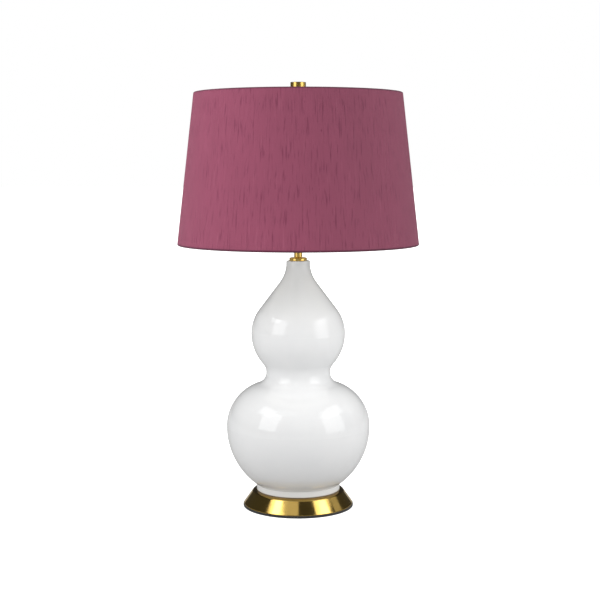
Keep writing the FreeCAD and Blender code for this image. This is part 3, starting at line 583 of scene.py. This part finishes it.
def makeShadeCloth():
    profile, wallFirst, wallSteps = clothProfile()
    angles = clothAngles()
    mesh = bmesh.new()
    columns = []
    for angle in angles:
        turn = math.radians(angle)
        lift = seamLift(angle)
        column = []
        for i, (reach, height) in enumerate(profile):
            # the rolls stay on their wires, so the lap is on the wall alone
            lowShare = max(0.0, (i - wallFirst) / shadeCloth["lapFade"])
            highShare = max(0.0, (wallFirst + wallSteps - i) / shadeCloth["lapFade"])
            spot = Vector((reach * math.cos(turn), reach * math.sin(turn), height))
            wave = noise.noise(spot * shadeCloth["puckerScale"]) * shadeCloth["pucker"]
            push = lift * min(1.0, lowShare, highShare) + wave
            spot += Vector((math.cos(turn), math.sin(turn), 0)) * push
            column.append(mesh.verts.new(spot))
        columns.append(column)
    topStart = wallFirst + wallSteps + shadeCloth["rollSteps"] // 2
    addClothFaces(mesh, columns, angles, profile, topStart)
    made = bpy.data.meshes.new("shadeCloth")
    mesh.to_mesh(made)
    mesh.free()
    made.shade_smooth()
    piece = bpy.data.objects.new("shadeCloth", made)
    bpy.context.scene.collection.objects.link(piece)
    thick = piece.modifiers.new("thickness", "SOLIDIFY")
    thick.thickness = shadeCloth["thickness"]
    thick.offset = 0.0
    piece.data.materials.append(paintCloth(ringWire + shadeCloth["thickness"]))
    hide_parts("shade_cloth")
    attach(piece, "shade")
    return piece


studio = {
    "fill": 0.82,                    # soft light from all round
    "gloom": 0.050,                  # what polished surfaces see between the panels
    # name: (azimuth from the front, elevation, aimed height, distance, width, height,
    # brightness)
    "panels": {
        "leftWindow": (-49.0, 22.0, 0.27, 1.30, 0.74, 0.98, 1.9),
        "rightWindow": (60.0, 17.0, 0.27, 1.30, 0.84, 1.02, 1.7),
        "leftHigh": (-66.0, 48.0, 0.03, 1.40, 0.58, 0.40, 1.9),
        "rightHigh": (72.0, 46.0, 0.03, 1.40, 0.84, 0.42, 1.6),
        "leftSoft": (-22.0, 54.0, 0.03, 1.50, 0.72, 0.30, 0.56),
        "rightSoft": (106.0, 32.0, 0.03, 1.50, 0.55, 0.36, 0.38),
    },
    # a beam on the gourd's neck and bulge, laid out the same way, then its spread in degrees
    "neckSoft": (0.0, 4.0, 0.39, 1.30, 0.50, 0.16, 0.16, 22.0),
    # lights the shade's cloth alone, laid out as the panels are
    "shadeKey": (-66.0, 25.0, 0.58, 1.90, 1.20, 1.00, 5.0),
}


def addPanel(name, azimuth, elevation, aim, distance, width, height, brightness,
             spread=180.0, mirrored=True):
    light = bpy.data.lights.new(name, "AREA")
    light.shape = "RECTANGLE"
    light.size = width
    light.size_y = height
    light.energy = brightness * math.pi * width * height
    light.spread = math.radians(spread)
    panel = bpy.data.objects.new(name, light)
    bpy.context.scene.collection.objects.link(panel)
    turn, lift = math.radians(azimuth), math.radians(elevation)
    level = math.cos(lift)
    away = Vector((math.sin(turn) * level, -math.cos(turn) * level, math.sin(lift)))
    panel.location = Vector((0, 0, aim)) + away * distance
    panel.rotation_mode = "QUATERNION"
    panel.rotation_quaternion = away.to_track_quat("Z", "Y")
    panel.visible_camera = False
    panel.visible_glossy = mirrored
    return panel


def addShadeKey(piece):
    panel = addPanel("shadeKey", *studio["shadeKey"], mirrored=False)
    only = bpy.data.collections.new("shadeOnly")
    only.objects.link(piece)
    panel.light_linking.receiver_collection = only


paleFloor = {
    "size": 60.0,
    "drop": 0.0003,                  # keeps it off the pad's underside
    "nearGlow": (0.74, 0.74, 0.74),  # what the camera sees under the lamp, and further out
    "farGlow": (1.0, 1.0, 1.0),
    "glowReach": (0.3, 2.0),
    "paper": (0.8, 0.8, 0.8),
    "dim": (0.48, 0.48, 0.48),       # what the lamp mirrors and is lit by
    "dimGlow": 0.02,
    "roughness": 0.9,
}


def makeFloor():
    mesh = bpy.data.meshes.new("floor")
    half, level = paleFloor["size"] / 2, -paleFloor["drop"]
    around = ((-half, -half), (half, -half), (half, half), (-half, half))
    corners = [(x, y, level) for x, y in around]
    mesh.from_pydata(corners, [], [(0, 1, 2, 3)])
    floor = bpy.data.objects.new("floor", mesh)
    bpy.context.scene.collection.objects.link(floor)
    material, start = startPaint("paleFloor")
    x, y = axesOf(restPlace(start))[:2]
    far = reachOf(x, y).between(*paleFloor["glowReach"])

    def sheet(colour, glow, strength):
        return start.node("ShaderNodeBsdfPrincipled", None, {
            "Base Color": rgb(colour), "Roughness": paleFloor["roughness"],
            "Emission Color": glow, "Emission Strength": strength})

    glow = far.pick(rgb(paleFloor["nearGlow"]), rgb(paleFloor["farGlow"]))
    paper = sheet(paleFloor["paper"], glow, 1.0)
    dimmer = sheet(paleFloor["dim"], rgb(paleFloor["farGlow"]), paleFloor["dimGlow"])
    seen = start.node("ShaderNodeLightPath", out="Is Camera Ray")
    both = start.node("ShaderNodeMixShader", None, {0: seen, 1: dimmer, 2: paper})
    start.node("ShaderNodeOutputMaterial", None, {"Surface": both})
    mesh.materials.append(material)


def makeWorld():
    world = bpy.data.worlds.new("studio")
    world.use_nodes = True
    world.node_tree.nodes.clear()
    start = Flow(world.node_tree)

    def white(strength):
        return start.node("ShaderNodeBackground", None, {
            "Color": rgb((1, 1, 1)), "Strength": strength})

    def chosen(ray, other, this):
        factor = start.node("ShaderNodeLightPath", out=ray)
        return start.node("ShaderNodeMixShader", None, {0: factor, 1: other, 2: this})

    room = chosen("Is Diffuse Ray", white(studio["gloom"]), white(studio["fill"]))
    both = chosen("Is Camera Ray", room, white(1.0))
    start.node("ShaderNodeOutputWorld", None, {"Surface": both})
    bpy.context.scene.world = world


view = {
    "place": (0.003, -2.15645, 0.57248),
    "pitch": 5.955,                  # degrees below the horizon
    "lens": 78.0,
    "sensor": 36.0,
}


def makeCamera():
    data = bpy.data.cameras.new("camera")
    data.lens = view["lens"]
    data.sensor_width = view["sensor"]
    camera = bpy.data.objects.new("camera", data)
    bpy.context.scene.collection.objects.link(camera)
    camera.location = view["place"]
    camera.rotation_euler = (math.radians(90 - view["pitch"]), 0, 0)
    bpy.context.scene.camera = camera


makeCamera()
makeWorld()
makeFloor()
for name, settings in studio["panels"].items():
    addPanel(name, *settings)
addPanel("neckSoft", *studio["neckSoft"], mirrored=False)
bpy.context.scene.view_settings.view_transform = "Standard"
print("studio ready")

dressNodes()
print("CAD nodes dressed")

addShadeKey(makeShadeCloth())
print("shade cloth made and lit")
